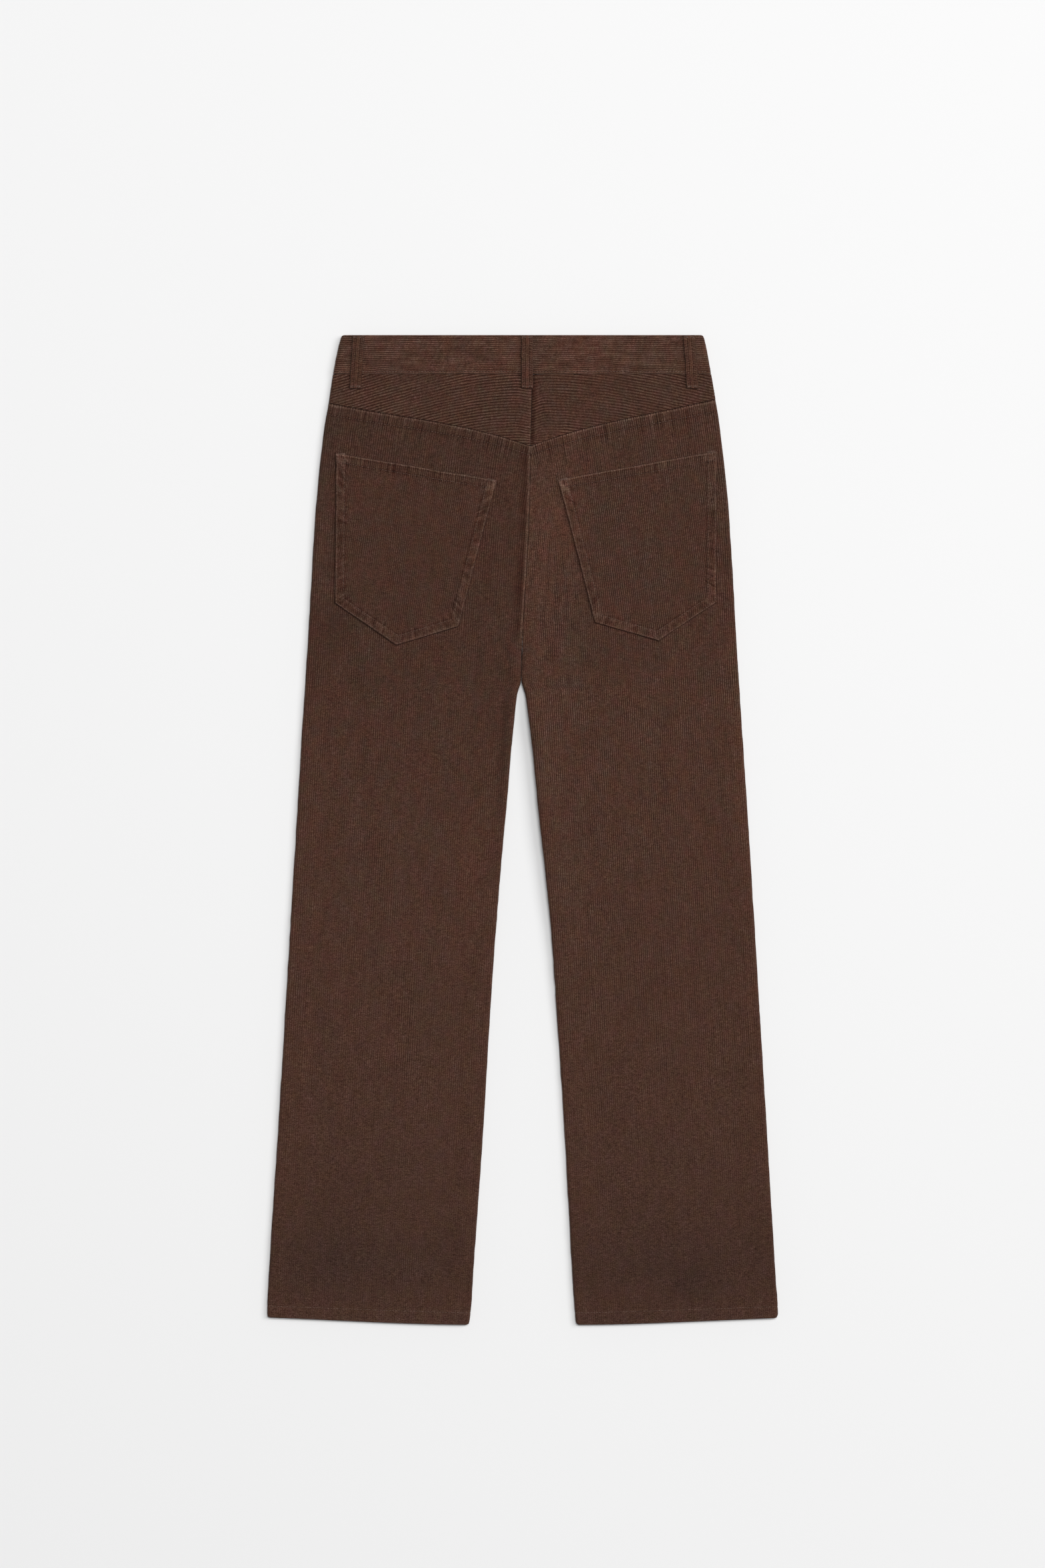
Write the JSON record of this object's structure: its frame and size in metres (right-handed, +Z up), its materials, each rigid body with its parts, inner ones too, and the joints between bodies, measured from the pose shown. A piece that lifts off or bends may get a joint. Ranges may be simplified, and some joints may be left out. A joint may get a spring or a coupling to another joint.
{
  "type": "corduroy trousers",
  "caption": "Straight-leg corduroy trousers lying flat, back side up, with a yoke, patch pockets and belt loops.",
  "frame": {"origin": "on the surface the trousers lie on, under the middle of their outline", "axes": "+Z up, with the back of the trousers on top; +Y towards the waist; +X towards the right leg as seen from above"},
  "size_m": [0.5207, 1.01, 0.0114],
  "materials": {
    "corduroy": "dark brown cotton corduroy with fine ribs, matt with a soft nap",
    "zip_tape": "dark brown woven tape",
    "dark_metal": "darkened metal, satin"
  },
  "bodies": {
    "root": {"back_panel_left": "corduroy", "back_panel_right": "corduroy", "back_yoke_left": "corduroy", "back_yoke_right": "corduroy", "back_pocket_left": "corduroy", "back_pocket_right": "corduroy", "waistband_back": "corduroy", "belt_loop_left": "corduroy", "belt_loop_centre": "corduroy", "belt_loop_right": "corduroy", "front_panel_left": "corduroy", "front_panel_right": "corduroy", "waistband_front_left": "corduroy", "waistband_front_right": "corduroy", "fly_zip": "zip_tape", "fly_zip_slider": "dark_metal", "waist_button": "dark_metal"}
  },
  "joints": []
}
